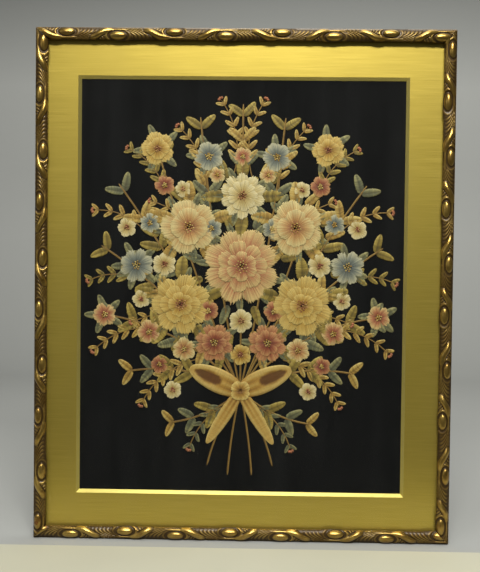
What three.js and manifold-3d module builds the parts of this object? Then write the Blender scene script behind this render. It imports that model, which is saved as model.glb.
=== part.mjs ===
// A framed needlework picture: a spray of stitched flowers applied to black cloth, set behind glass in
// a gilt window mount and a carved gilt frame. It stands upright on its bottom rail, as on a table.
// Millimetres, +Z up. The front faces -Y. The origin is on the floor under the middle of the frame.
import * as THREE from "three";
import { mergeVertices } from "three/addons/utils/BufferGeometryUtils.js";
import Module from "manifold-3d";

// Driving sizes. The carving's highest points lie as far in front of the origin as the back lies behind.
const FRAME = { width: 684, height: 838, back: 14 };
const GAP = 0.3;

// The moulding's section: v runs from the outer side (0) towards the picture, y is the depth.
const MOULDING = {
  width: 21.5, // across the carving, at its widest
  side: -5.5, // y where the flat outer side ends and the carving begins
  crown: 4.15, // how far the plain rounded ground of the carving stands out of the side
  lip: 19.6, // v of the sight edge that holds the glass
  rabbet: 14.6, // v of the rabbet wall behind that lip
  lipBack: 0, // y of the rabbet's floor
  swell: 2.4, // how flat that ground's top is: 2 would be a parabola
  recess: 1.6, // how far the carving's edges draw in between the eggs
  margin: 0.2, // what the carving keeps from the flat outer side
};

// The carved ribbon runs clockwise round the frame and winds past eggs, outer and inner by turns.
const CARVING = {
  innerEgg: 83.5, // from an outer egg to the inner one after it
  eggLength: 27,
  eggWidth: 13.4,
  eggRise: 4.5,
  eggEdge: 1.5, // how far round the egg its edge wave reaches, in half lengths
  eggAt: 7.4, // from the edge that the egg lies at
  ribbonAt: 17.3, // from that same edge, while the ribbon passes the egg
  ribbonWidth: 3.6,
  ribbonRise: 2.2,
  crossFrom: 0.45, // share of the way to the next egg where it starts to cross to the other edge
  crossTo: 0.84,
  lobeWidth: 12, // it widens to a lobe while it crosses
  lobeRise: 4.1,
  lobeAt: 0.66,
  lobeReach: 0.24,
};
const CARVED_STEP = 8.2; // length of one facet along a rail
const CARVED_ACROSS = [0, 0.1, 0.27, 0.42, 0.58, 0.73, 0.9, 1];

// Each rail starts at a corner and runs clockwise, seen from the front. firstEgg is its first outer egg
// and repeat the distance to the next one. The carving runs on into the mitres.
const RAILS = [
  { name: "rail_top", from: [-1, 1], along: [1, 0], inward: [0, -1], firstEgg: 51.5, repeat: 175.1 },
  { name: "rail_right", from: [1, 1], along: [0, -1], inward: [-1, 0], firstEgg: 33.6, repeat: 173.1 },
  { name: "rail_bottom", from: [1, 0], along: [-1, 0], inward: [0, 1], firstEgg: 102.3, repeat: 173.2 },
  { name: "rail_left", from: [-1, 0], along: [0, 1], inward: [1, 0], firstEgg: 27, repeat: 175.4 },
];

// What lies in the rabbet, from the front to the back
const GLASS = 2;
const MOUNT = 5;
const CLOTH = 1.5;
const BOARD = 4;
const WINDOW = { width: 532, height: 678.5, x: -2.5, z: 417.8, bevel: 5 };

// The needlework, on the cloth: x and z count from the middle of the window.
const RELIEF = { stem: 0.8, leafEdge: 1, leafRib: 1.8, petalEdge: 1.2, petalCrest: 2.6, heart: 3.1 };
const STEM_WIDTH = 3.2;
const STEM_STEPS = 5;
// root is how far a leaf reaches past its stem's middle. Leaves are shorter towards the stem's tip, and
// widest at that share of their length. last is where the last pair stands along the stem.
const LEAF = { slimness: 0.42, lean: 48, root: 1.4, full: 1.12, shrink: 0.35, widest: 0.44, last: 0.96 };
const LEAF_BLUNTNESS = 0.8; // under 1 puts a leaf's widest part nearer to its root
const PETAL_NOTCH = 0.22; // how deep the cut between two petals is, as a share of the radius
const PETAL_CREST = 0.6; // where a petal is highest, as a share of the radius
const TIE = [0, -172];
// Stems of the right-hand half and the middle. bow is how far a stem bends outwards, first where its
// leaves begin, as a share of its length, pairs how many pairs there are, and leaf their length.
const STEMS = [
  { tip: [0, 300], bow: 0, first: 0.7, pairs: 4, leaf: 38 },
  { tip: [70, 278], bow: 12, first: 0.72, pairs: 3, leaf: 40 },
  { tip: [140, 226], bow: 14, first: 0.7, pairs: 2, leaf: 42 },
  { tip: [204, 168], bow: -18, first: 0.68, pairs: 3, leaf: 42 },
  { tip: [232, 66], bow: -38, first: 0.62, pairs: 3, leaf: 40 },
  { tip: [226, -48], bow: -48, first: 0.5, pairs: 4, leaf: 40 },
  { tip: [188, -142], bow: -34, first: 0.44, pairs: 4, leaf: 36 },
  { tip: [116, -226], bow: -20, first: 0.42, pairs: 3, leaf: 34 },
  { tip: [54, -296], bow: 12, first: 0, pairs: 0, leaf: 0 },
  { tip: [20, -312], bow: 5, first: 0, pairs: 0, leaf: 0 },
];
// Blooms of the right-hand half and the middle. collar is how many leaves show round each one.
const BLOOMS = [
  { at: [0, 34], radius: 62, petals: 8, collar: 0 },
  { at: [100, -30], radius: 50, petals: 7, collar: 5 },
  { at: [88, 98], radius: 46, petals: 5, collar: 5 },
  { at: [0, 150], radius: 38, petals: 10, collar: 4 },
  { at: [44, -92], radius: 32, petals: 8, collar: 0 },
  { at: [140, 226], radius: 28, petals: 5, collar: 0 },
  { at: [174, 34], radius: 28, petals: 8, collar: 0 },
  { at: [226, -48], radius: 20, petals: 5, collar: 0 },
  { at: [56, 214], radius: 24, petals: 5, collar: 0 },
  { at: [0, -172], radius: 17, petals: 4, collar: 0 },
];
const COLLAR_LEAF = { length: 38, width: 21, sunk: 8 };
const BOW_LOOP = { length: 92, width: 40, slope: 24 };
const BOW_TAIL = { length: 104, width: 22, slope: -58 };
const BOW_SHARES = [0.25, 0.6, 0.88]; // where along a loop or tail its outline has corners

const GILT = { color: 0x9c7426, roughness: 0.36, metalness: 0.9 };
const MOUNT_GILT = { color: 0xc2a044, roughness: 0.42, metalness: 0.75 };
const CLEAR = { color: 0xdfe8e6, roughness: 0.05, metalness: 0, transparent: true, opacity: 0.25 };
const BLACK_CLOTH = { color: 0x131014, roughness: 0.95, metalness: 0 };
const THREAD = { color: 0xb9975a, roughness: 0.7, metalness: 0 };
const BACKING = { color: 0x8d6d47, roughness: 0.85, metalness: 0 };

// A smooth step from 0 to 1 as x goes from 0 to 1
function easeIn(x) {
  const t = Math.min(1, Math.max(0, x));
  return t * t * (3 - 2 * t);
}

// A round-topped bump of height 1 for x between -1 and 1
function dome(x) {
  return Math.sqrt(Math.max(0, 1 - x * x));
}

// The place in the carving's repeat: the egg last passed, how far back it is, and how far on the next is
function placeInRepeat(s, rail) {
  const inRepeat = THREE.MathUtils.euclideanModulo(s - rail.firstEgg, rail.repeat);
  const pastInner = inRepeat >= CARVING.innerEgg;
  const span = pastInner ? rail.repeat - CARVING.innerEgg : CARVING.innerEgg;
  const past = pastInner ? inRepeat - CARVING.innerEgg : inRepeat;
  return { inner: pastInner, past, span };
}

// How full the carving is at its outer or inner edge, from 0 between the eggs to 1 beside an egg
function edgeFullness(s, rail, innerEdge) {
  const { inner, past, span } = placeInRepeat(s, rail);
  const toEgg = inner === innerEdge ? past : span - past;
  return dome((2 * toEgg) / (CARVING.eggEdge * CARVING.eggLength));
}

// The relief of egg and ribbon over the plain ground, at s along the rail and v across it
function carvedRelief(s, v, rail) {
  const { inner, past, span } = placeInRepeat(s, rail);
  const fromEdge = inner ? MOULDING.width - v : v;
  const fromFarEdge = MOULDING.width - fromEdge;
  const egg = (along, across) => {
    const alongShare = (2 * along) / CARVING.eggLength;
    const acrossShare = (2 * (across - CARVING.eggAt)) / CARVING.eggWidth;
    return CARVING.eggRise * dome(Math.hypot(alongShare, acrossShare));
  };
  const share = past / span;
  const crossing = easeIn((share - CARVING.crossFrom) / (CARVING.crossTo - CARVING.crossFrom));
  const centre = THREE.MathUtils.lerp(CARVING.ribbonAt, MOULDING.width - CARVING.ribbonAt, crossing);
  const lobe = dome((share - CARVING.lobeAt) / CARVING.lobeReach);
  const halfWidth = THREE.MathUtils.lerp(CARVING.ribbonWidth, CARVING.lobeWidth, lobe) / 2;
  const rise = THREE.MathUtils.lerp(CARVING.ribbonRise, CARVING.lobeRise, lobe);
  const ribbon = rise * dome((fromEdge - centre) / halfWidth);
  return Math.max(ribbon, egg(past, fromEdge), egg(past - span, fromFarEdge));
}

// The depth of the carved face
function carvedDepth(s, v, rail) {
  const ground = MOULDING.crown * (1 - Math.abs((2 * v) / MOULDING.width - 1) ** MOULDING.swell);
  return MOULDING.side - ground - carvedRelief(s, v, rail);
}

// Collects points and the faces between them, each counterclockwise seen from outside
class Faces {
  constructor() {
    this.points = [];
    this.index = [];
  }
  add(point) {
    return this.points.push(point) - 1;
  }
  face(...corners) {
    for (let i = 2; i < corners.length; i++) this.index.push(corners[0], corners[i - 1], corners[i]);
  }
  // A four-cornered face, of which two corners may be the same point
  strip(...corners) {
    this.face(...corners.filter((c, i) => c !== corners[(i + 1) % corners.length]));
  }
  // A flat face with many corners. flatten gives each point's two coordinates as seen from outside.
  polygon(corners, flatten) {
    const outline = corners.map((i) => new THREE.Vector2(...flatten(this.points[i])));
    for (const triangle of THREE.ShapeUtils.triangulateShape(outline, [])) {
      this.face(...triangle.map((i) => corners[i]));
    }
  }
  geometry() {
    const flat = this.points.flatMap((p) => [p.x, p.y, p.z]);
    const made = new THREE.BufferGeometry();
    made.setAttribute("position", new THREE.Float32BufferAttribute(flat, 3));
    made.setIndex(this.index);
    return made;
  }
}

// One rail: a carved face over a moulding with a rabbet, cut at 45 degrees at both ends
function railGeometry(rail) {
  const [fromX, fromZ] = [rail.from[0] * (FRAME.width / 2), rail.from[1] * FRAME.height];
  const length = rail.along[0] === 0 ? FRAME.height : FRAME.width;
  const mitre = GAP / Math.SQRT2;
  const steps = Math.round(length / CARVED_STEP);
  const faces = new Faces();
  const alongAt = (share, v) => THREE.MathUtils.lerp(v + mitre, length - v - mitre, share);
  const place = (share, v, y) => {
    const s = alongAt(share, v);
    const x = fromX + s * rail.along[0] + v * rail.inward[0];
    const z = fromZ + s * rail.along[1] + v * rail.inward[1];
    return faces.add(new THREE.Vector3(x, y, z));
  };
  // The carved face, a grid of points
  const grid = [];
  for (let i = 0; i <= steps; i++) {
    const share = i / steps;
    const middle = alongAt(share, MOULDING.width / 2);
    const drawnIn = (innerEdge) => MOULDING.recess * (1 - edgeFullness(middle, rail, innerEdge));
    const outer = MOULDING.margin + drawnIn(false);
    const inner = MOULDING.width - drawnIn(true);
    grid.push(
      CARVED_ACROSS.map((q) => {
        const v = THREE.MathUtils.lerp(outer, inner, q);
        const edge = q === 0 || q === 1;
        return place(share, v, edge ? MOULDING.side : carvedDepth(alongAt(share, v), v, rail));
      }),
    );
  }
  for (let i = 0; i < steps; i++) {
    for (let k = 0; k + 1 < CARVED_ACROSS.length; k++) {
      faces.face(grid[i][k], grid[i][k + 1], grid[i + 1][k + 1], grid[i + 1][k]);
    }
  }
  // The plain sides: corners of the section, from the outer side round the back to the sight edge
  const section = [
    [0, MOULDING.side],
    [0, FRAME.back],
    [MOULDING.rabbet, FRAME.back],
    [MOULDING.rabbet, MOULDING.lipBack],
    [MOULDING.lip, MOULDING.lipBack],
    [MOULDING.lip, MOULDING.side],
  ];
  const start = section.map(([v, y]) => place(0, v, y));
  const end = section.map(([v, y]) => place(1, v, y));
  for (let k = 0; k + 1 < section.length; k++) {
    faces.face(start[k], end[k], end[k + 1], start[k + 1]);
  }
  // The narrow ledges between the carving's wavy edges and the straight sides
  const outerEdge = grid.map((row) => row[0]);
  const innerEdge = grid.map((row) => row.at(-1));
  faces.polygon([start[0], end[0], ...outerEdge.toReversed()], (p) => [p.x, p.z]);
  faces.polygon([...innerEdge, end.at(-1), start.at(-1)], (p) => [p.x, -p.z]);
  // The mitred ends
  const acrossAt = (p) => (p.x - fromX) * rail.inward[0] + (p.z - fromZ) * rail.inward[1];
  const endShape = (row, cut) => [...row, ...cut.toReversed()];
  faces.polygon(endShape(grid[0], start), (p) => [acrossAt(p), -p.y]);
  faces.polygon(endShape(grid[steps], end), (p) => [-acrossAt(p), -p.y]);
  return faces.geometry();
}

// A flat plate that fills the rabbet's outline, between two depths
function plateGeometry(front, thickness) {
  const clear = 2 * (MOULDING.rabbet + GAP);
  const plate = new THREE.BoxGeometry(FRAME.width - clear, thickness, FRAME.height - clear);
  return plate.translate(0, front + thickness / 2, FRAME.height / 2);
}

// The mount: a plate with a window whose edge is bevelled all round
function mountGeometry(front) {
  const clear = MOULDING.rabbet + GAP;
  const corners = [[-1, -1], [1, -1], [1, 1], [-1, 1]];
  const rectangle = (x, z, width, height, y) =>
    corners.map(([i, k]) => new THREE.Vector3(x + (i * width) / 2, y, z + (k * height) / 2));
  const outer = [0, FRAME.height / 2, FRAME.width - 2 * clear, FRAME.height - 2 * clear];
  const open = 2 * WINDOW.bevel;
  const loops = [
    rectangle(...outer, front + MOUNT),
    rectangle(...outer, front),
    rectangle(WINDOW.x, WINDOW.z, WINDOW.width + open, WINDOW.height + open, front),
    rectangle(WINDOW.x, WINDOW.z, WINDOW.width, WINDOW.height, front + MOUNT),
  ];
  const faces = new Faces();
  const rings = loops.map((loop) => loop.map((p) => faces.add(p)));
  rings.forEach((ring, i) => {
    const next = rings[(i + 1) % rings.length];
    ring.forEach((_, k) => {
      const m = (k + 1) % ring.length;
      faces.face(ring[k], ring[m], next[m], next[k]);
    });
  });
  return faces.geometry();
}

// A low closed form: an outline on the cloth, the same outline raised, and rings or a ridge on top.
// It stands in local x and z with its height towards -y.
function reliefGeometry(outline, edgeHeight, crown) {
  const faces = new Faces();
  const at = ([x, z], height) => faces.add(new THREE.Vector3(x, -height, z));
  const low = outline.map((p) => at(p, 0));
  const high = outline.map((p) => at(p, edgeHeight));
  const count = outline.length;
  faces.polygon(low, (p) => [p.x, -p.z]);
  for (let i = 0; i < count; i++) {
    const k = (i + 1) % count;
    faces.face(low[i], low[k], high[k], high[i]);
  }
  crown(faces, high, at);
  return faces.geometry();
}

// A leaf from its root at the origin along +x, with a raised rib down the middle
function leafGeometry(length, width, shares = [LEAF.widest]) {
  const lower = shares.map((t) => [t * length, (-width / 2) * dome(2 * t ** LEAF_BLUNTNESS - 1)]);
  const upper = lower.map(([x, z]) => [x, -z]).reverse();
  const outline = [[0, 0], ...lower, [length, 0], ...upper];
  return reliefGeometry(outline, RELIEF.leafEdge, (faces, high, at) => {
    const tip = high[shares.length + 1];
    const low = [high[0], ...high.slice(1, shares.length + 1), tip];
    const up = [high[0], ...high.slice(shares.length + 2).reverse(), tip];
    const rib = [high[0], ...shares.map((t) => at([t * length, 0], RELIEF.leafRib)), tip];
    for (let i = 0; i + 1 < rib.length; i++) {
      faces.strip(low[i], low[i + 1], rib[i + 1], rib[i]);
      faces.strip(rib[i], rib[i + 1], up[i + 1], up[i]);
    }
  });
}

// A round bloom with scalloped petals that swell to a crest and dip to a raised heart
function bloomGeometry(radius, petals) {
  const perPetal = petals > 8 ? 2 : 3;
  const count = petals * perPetal;
  const ring = (share, notch) =>
    Array.from({ length: count }, (_, i) => {
      const turn = (2 * Math.PI * i) / count;
      const r = radius * share * (i % perPetal === 0 ? 1 - notch : 1);
      return [r * Math.cos(turn), r * Math.sin(turn)];
    });
  return reliefGeometry(ring(1, PETAL_NOTCH), RELIEF.petalEdge, (faces, high, at) => {
    const crest = ring(PETAL_CREST, PETAL_NOTCH / 2).map((p) => at(p, RELIEF.petalCrest));
    const heart = at([0, 0], RELIEF.heart);
    for (let i = 0; i < count; i++) {
      const k = (i + 1) % count;
      faces.face(high[i], high[k], crest[k], crest[i]);
      faces.face(crest[i], crest[k], heart);
    }
  });
}

// A stem: a narrow band along a curve
function stemGeometry(curve) {
  const sides = [[], []];
  for (let i = 0; i <= STEM_STEPS; i++) {
    const p = curve.getPoint(i / STEM_STEPS);
    const t = curve.getTangent(i / STEM_STEPS);
    const half = STEM_WIDTH / 2;
    sides[0].push([p.x + t.y * half, p.y - t.x * half]);
    sides[1].push([p.x - t.y * half, p.y + t.x * half]);
  }
  const outline = [...sides[0], ...sides[1].toReversed()];
  return reliefGeometry(outline, RELIEF.stem, (faces, high) => {
    const last = high.length - 1;
    for (let i = 0; i < STEM_STEPS; i++) {
      faces.face(high[i], high[i + 1], high[last - i - 1], high[last - i]);
    }
  });
}

// A stem's line from the tie to its tip, bent outwards
function stemCurve(stem, side) {
  const tip = new THREE.Vector2(side * stem.tip[0], stem.tip[1]);
  const tie = new THREE.Vector2(...TIE);
  const run = tip.clone().sub(tie);
  const outwards = new THREE.Vector2(run.y, -run.x).normalize().multiplyScalar(side * Math.sign(run.y));
  const middle = tie.clone().add(tip).multiplyScalar(0.5).addScaledVector(outwards, stem.bow);
  return new THREE.QuadraticBezierCurve(tie, middle, tip);
}

const turnAndPlace = (geometry, degrees, x, z) =>
  geometry.rotateY(-THREE.MathUtils.degToRad(degrees)).translate(x, 0, z);

// Leaves in pairs along a stem, the last pair close to its tip and smaller
function stemLeaves(stem, curve) {
  const leaves = [];
  for (let i = 0; i < stem.pairs; i++) {
    const t = THREE.MathUtils.lerp(stem.first, LEAF.last, i / Math.max(1, stem.pairs - 1));
    const p = curve.getPoint(t);
    const heading = THREE.MathUtils.radToDeg(curve.getTangent(t).angle());
    const length = stem.leaf * (LEAF.full - LEAF.shrink * t);
    for (const lean of [-LEAF.lean, LEAF.lean]) {
      const leaf = leafGeometry(length, length * LEAF.slimness).translate(-LEAF.root, 0, 0);
      leaves.push(turnAndPlace(leaf, heading + lean, p.x, p.y));
    }
  }
  return leaves;
}

// Leaves that show round a bloom, spread evenly from straight up
function collarLeaves({ radius, collar }, x, z) {
  const { length, width, sunk } = COLLAR_LEAF;
  return Array.from({ length: collar }, (_, i) => {
    const leaf = leafGeometry(length, width).translate(radius - sunk, 0, 0);
    return turnAndPlace(leaf, 90 + (360 * i) / collar, x, z);
  });
}

const wasm = await Module();
wasm.setup();

// A geometry as a solid that can be joined
function solidOf(geometry) {
  const plain = new THREE.BufferGeometry();
  plain.setAttribute("position", geometry.getAttribute("position"));
  plain.setIndex(geometry.index);
  const merged = mergeVertices(plain, 1e-4);
  return new wasm.Manifold(
    new wasm.Mesh({
      numProp: 3,
      vertProperties: merged.attributes.position.array,
      triVerts: new Uint32Array(merged.index.array),
    }),
  );
}

// A joined solid as a geometry
function geometryOf(solid) {
  const mesh = solid.getMesh();
  const made = new THREE.BufferGeometry();
  made.setAttribute("position", new THREE.Float32BufferAttribute(mesh.vertProperties, mesh.numProp));
  made.setIndex(new THREE.Uint32BufferAttribute(mesh.triVerts, 1));
  return made;
}

// The whole spray, joined into the one piece that is applied to the cloth
function needleworkGeometry(clothFront) {
  const forms = [];
  for (const stem of STEMS) {
    for (const side of stem.tip[0] === 0 ? [1] : [1, -1]) {
      const curve = stemCurve(stem, side);
      forms.push(stemGeometry(curve), ...stemLeaves(stem, curve));
    }
  }
  for (const bloom of BLOOMS) {
    for (const side of bloom.at[0] === 0 ? [1] : [1, -1]) {
      const [x, z] = [side * bloom.at[0], bloom.at[1]];
      forms.push(bloomGeometry(bloom.radius, bloom.petals).translate(x, 0, z), ...collarLeaves(bloom, x, z));
    }
  }
  for (const { length, width, slope } of [BOW_LOOP, BOW_TAIL]) {
    for (const degrees of [slope, 180 - slope]) {
      forms.push(turnAndPlace(leafGeometry(length, width, BOW_SHARES), degrees, ...TIE));
    }
  }
  const joined = forms.map(solidOf).reduce((all, form) => all.add(form));
  return geometryOf(joined).translate(WINDOW.x, clothFront - GAP, WINDOW.z);
}

// A named piece with its finish
function piece(name, geometry, finish) {
  const mesh = new THREE.Mesh(geometry, new THREE.MeshStandardMaterial(finish));
  mesh.name = name;
  return mesh;
}

const picture = new THREE.Group();
for (const rail of RAILS) {
  picture.add(piece(rail.name, railGeometry(rail), GILT));
}
const glassFront = MOULDING.lipBack + GAP;
const mountFront = glassFront + GLASS + GAP;
const clothFront = mountFront + MOUNT + GAP;
const boardFront = clothFront + CLOTH + GAP;
picture.add(piece("glass", plateGeometry(glassFront, GLASS), CLEAR));
picture.add(piece("window_mount", mountGeometry(mountFront), MOUNT_GILT));
picture.add(piece("ground_cloth", plateGeometry(clothFront, CLOTH), BLACK_CLOTH));
picture.add(piece("needlework", needleworkGeometry(clothFront), THREAD));
picture.add(piece("back_board", plateGeometry(boardFront, BOARD), BACKING));

export default picture;
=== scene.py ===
"""The looks of a framed needlework picture: worked flowers on black cloth, behind glass, in a gilt
window mount and a carved gilt frame. It stands upright and faces -Y. Sizes are in millimetres, as in
the solids' source, and become metres where a mesh is made."""

import math
from types import SimpleNamespace as Sizes

import bpy
import numpy as np
from mathutils import Matrix, Vector


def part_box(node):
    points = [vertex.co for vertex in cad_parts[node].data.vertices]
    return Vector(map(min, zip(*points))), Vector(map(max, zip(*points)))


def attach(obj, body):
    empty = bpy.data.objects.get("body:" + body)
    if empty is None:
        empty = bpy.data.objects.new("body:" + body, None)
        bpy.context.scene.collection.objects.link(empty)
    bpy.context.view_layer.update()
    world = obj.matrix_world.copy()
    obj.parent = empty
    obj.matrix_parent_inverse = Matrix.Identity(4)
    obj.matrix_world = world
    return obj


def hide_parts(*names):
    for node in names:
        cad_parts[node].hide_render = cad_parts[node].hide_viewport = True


MM = 0.001
SEED = 11


def linear(red, green, blue):
    """A screen colour from 0 to 255 as linear values."""
    shares = [c / 255 for c in (red, green, blue)]
    return tuple(c / 12.92 if c <= 0.04045 else ((c + 0.055) / 1.055) ** 2.4 for c in shares)


def table(columns, *rows):
    """Rows of named values, with the names of the columns."""
    return [Sizes(**dict(zip(columns.split(), row))) for row in rows]


# The photograph's camera: its place in metres, its turns in degrees and its focal length in pixels
PHOTO_HEIGHT = 572
FOCAL_LENGTH = 900
SENSOR = 36
CAMERA_AT = (0.0236, -1.4762, 0.4619)
YAW, PITCH, ROLL = 1.099, -1.639, -0.654

# Sizes that the solids share
FRAME_WIDTH, FRAME_HEIGHT, FRAME_BACK = 684, 838, 14
HALF_WIDTH = FRAME_WIDTH / 2
GAP = 0.3
MITRE = GAP / math.sqrt(2)
MOULDING = Sizes(
    width=21.5,
    side=-5.5,
    crown=4.15,
    swell=2.4,
    lip=19.6,
    rabbet=14.6,
    lip_back=0,
    recess=1.6,
    margin=0.2,
)
CARVING = Sizes(
    inner_egg=83.5,
    egg_length=27,
    egg_width=13.4,
    egg_rise=4.5,
    egg_edge=1.5,
    egg_at=7.4,
    ribbon_at=17.3,
    ribbon_width=3.6,
    ribbon_rise=2.2,
    cross_from=0.45,
    cross_to=0.84,
    lobe_width=12,
    lobe_at=0.66,
    lobe_reach=0.24,
)
# A rail runs clockwise from start. egg is its first outer egg, and repeat the distance to the next one.
RAILS = table(
    "name length start along inward egg repeat",
    ("rail_top", FRAME_WIDTH, (-HALF_WIDTH, FRAME_HEIGHT), (1, 0), (0, -1), 51.5, 175.1),
    ("rail_right", FRAME_HEIGHT, (HALF_WIDTH, FRAME_HEIGHT), (0, -1), (-1, 0), 33.6, 173.1),
    ("rail_bottom", FRAME_WIDTH, (HALF_WIDTH, 0), (-1, 0), (0, 1), 102.3, 173.2),
    ("rail_left", FRAME_HEIGHT, (-HALF_WIDTH, 0), (0, 1), (1, 0), 27, 175.4),
)
WINDOW_X, WINDOW_Z = -2.5, 417.8
CLOTH_FRONT, CLOTH_THICKNESS = 7.9, 1.5
CLOTH_GRID = (48, 60)
CLOTH_WAVES = Sizes(rise=0.18, across=37, sway=61, up=43, shift=1.4)
CLOTH_SHARP = 50

# The fine carving: a groove and a scroll round each egg, and curved flutes on both sides of the lobes.
# Reaches and widths round an egg count in its half sizes. least is what is left behind the egg. curve is
# how fast a flute bends back, and turn where it stands square to the rail.
CARVED_STEP = 1.3
CARVED_ACROSS = 32
CARVING_SHARP = 58
CHAMFER = 0.7
EGG_BLUNTNESS = 0.85
EGG_SIZES = Sizes(least=0.95, most=1.03, count=7)
GROOVE = Sizes(reach=1.16, width=0.14, depth=1.3, least=0.1)
SCROLL = Sizes(reach=1.45, width=0.17, rise=2.3, least=0.45)
LOBE = Sizes(rise=4.7, roundness=2)
RIBBON_ENDS = Sizes(tail=24, tail_fade=18, head=0.33, head_fade=0.14)
FLUTES = Sizes(after=1.5, after_fade=0.3, pitch=6.4, curve=0.12, turn=3.2, rise=1.6, edge=10)
BACK_FLUTES = Sizes(start=36, stop=16, pitch=5.2, lean=0.8, rise=1.7, fade=5)
RIDGE_BLUNTNESS = 0.8
BESIDE = 1.5
# How hollow a place is, from 0 on the heights to 1: low, sunk and rim are the parts that its own height,
# its depth under its surroundings and the outer rim have in that. spread says how wide those are. It
# darkens
# the gilding: low and sunk give dark patina together with painted shade in the hollows, and rim gives
# painted shade along the outer rim.
HOLLOW = Sizes(low=0.5, floor=3.2, sunk=0.5, depth=1.7, spread=14, rim=0.7, rim_reach=1.6)
PLAIN_HOLLOW = (0.55, 0.6, 0.6, 0.6, 0.6, 0.6, 0.6)
WORN_REACH = 42

# The needlework. A pitch is the width of a thread, and a form's edges end at SKIRT above the cloth.
THREAD_RISE = 0.26
PETAL_PITCH = 1.8
LEAF_PITCH = 2.0
FEWEST_THREADS = 5
SKIRT = 0.05
# The worked forms. An arch is a part of a half wave: where it starts and how far it runs. A tone is a place
# between the colours of a palette, a shade is a brightness, and a mix is how much threads differ in them.
# A height is where a form starts above the cloth, and its rise is what it adds. edge and tip are under 1,
# so that a form keeps some height there.
PETAL = Sizes(
    rows=(0.1, 0.28, 0.48, 0.68, 0.85, 0.96, 1.0),
    arc=1.2,
    rounding=0.2,
    rounding_power=2.5,
    ragged=0.025,
    waist=0.72,
    belly=0.34,
    belly_arch=(0.2, 0.62),
    edge=0.96,
    flatness=0.7,
    foot=0.35,
    crest=0.65,
    crest_arch=(0.1, 0.78),
    thread_arch=(0.12, 0.8),
    tilt=0.25,
    tone_slope=1.2,
    tone_start=-0.14,
    tone_mix=0.09,
    shade_mix=0.1,
    # The next two darken a petal's sides: painted shadow between the petals
    edge_shade=0.35,
    edge_power=8,
)
# sides says which half of a leaf a row of stitches is in, and rows how far it lies from the rib.
LEAF = Sizes(
    sides=(1, 1, 1, 0, -1, -1, -1),
    rows=(1.0, 0.75, 0.35, 0.0, 0.35, 0.75, 1.0),
    slant=0.16,
    slant_power=0.3,
    widest_power=0.8,
    ragged=0.03,
    curl=0.12,
    tip=0.9,
    rise=0.9,
    foot=0.3,
    crest=0.7,
    crest_arch=(0.12, 0.78),
    thread_arch=(0.15, 0.8),
    tone_start=0.2,
    tone_along=0.45,
    tone_across=0.3,
    tone_side=0.12,
    tone_mix=0.09,
    shade_mix=0.12,
    rib_shade=0.45,
)
LINE = Sizes(
    rows=(1, 0.6, 0, -0.6, -1),
    tip=6,
    tip_width=0.4,
    stitch=3.2,
    slant=0.4,
    edge=0.95,
    rise=0.55,
    twist=0.35,
    # The next two paint each stitch lighter on its crest and darker between: painted light and painted
    # shade
    shade=0.62,
    twist_shade=0.4,
    tone=0.45,
    tone_across=0.35,
    tone_mix=0.06,
)
KNOT = Sizes(
    around=7,
    rows=5,
    arch=(0.5, -0.46),
    rise=1.1,
    roundness=0.6,
    shades=(0.8, 1.15),
    # The next two paint a knot darker at its foot and lighter on top: painted shade and painted light
    foot_shade=0.75,
    top_shade=0.3,
)
# A bloom has up to three rings of petals, and knots in its heart. They lie in a spiral that turns by the
# golden angle, in radians.
BLOOM = Sizes(
    rings=(1.0, 0.68, 0.42),
    fewest=4,
    overlap=1.16,
    turn=3,
    reach=(0.95, 1.02),
    foot=0.35,
    ring_rise=0.95,
    every_other=0.12,
    rise=0.75,
    rise_share=0.012,
)
HEART = Sizes(
    size=0.2,
    single_size=0.26,
    foot=1.2,
    ring_rise=0.85,
    dome=0.4,
    fewest=7,
    knots=1.7,
    knot=1.5,
    pale=0.55,
    turn=2.39996,
    start=0.3,
    golden=("rose", "blue", "red", "blush"),
)
# Stems of the right-hand half and the middle, as in the solids, from the tie to their tips. bow is how far
# a stem bends out, first where its pairs of leaves begin, and leaf how long these are.
TIE = (0, -172)
STEM = Sizes(
    steps=140,
    width=3.2,
    height=0.3,
    last=0.96,
    fullest=1.12,
    shrink=0.35,
    slimness=0.42,
    lean=48,
)
STEM_LEAVES = ("olive", "teal", "straw", "olive", "straw", "teal", "olive")
STEMS = table(
    "tip bow first pairs leaf",
    ((0, 300), 0, 0.7, 4, 38),
    ((70, 278), 12, 0.72, 3, 40),
    ((140, 226), 14, 0.7, 2, 42),
    ((204, 168), -18, 0.68, 3, 42),
    ((232, 66), -38, 0.62, 3, 40),
    ((226, -48), -48, 0.5, 4, 40),
    ((188, -142), -34, 0.44, 4, 36),
    ((116, -226), -20, 0.42, 3, 34),
    ((54, -296), 12, 0, 0, 0),
    ((20, -312), 5, 0, 0, 0),
)
# Blooms of the right-hand half and the middle. layers is how many rings of petals lie on each other, and
# collar how many pale leaves show round them.
LARGE_BLOOM = 40
BLOOMS = table(
    "at radius petals collar layers palette",
    ((0, 34), 62, 8, 0, 3, "rose"),
    ((100, -30), 50, 7, 5, 3, "gold"),
    ((88, 98), 46, 5, 5, 2, "blush"),
    ((0, 150), 38, 10, 4, 2, "cream"),
    ((44, -92), 32, 8, 0, 2, "red"),
    ((140, 226), 28, 5, 0, 2, "gold"),
    ((174, 34), 28, 8, 0, 1, "blue"),
    ((226, -48), 20, 5, 0, 1, "rose"),
    ((56, 214), 24, 5, 0, 1, "blue"),
)
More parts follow.
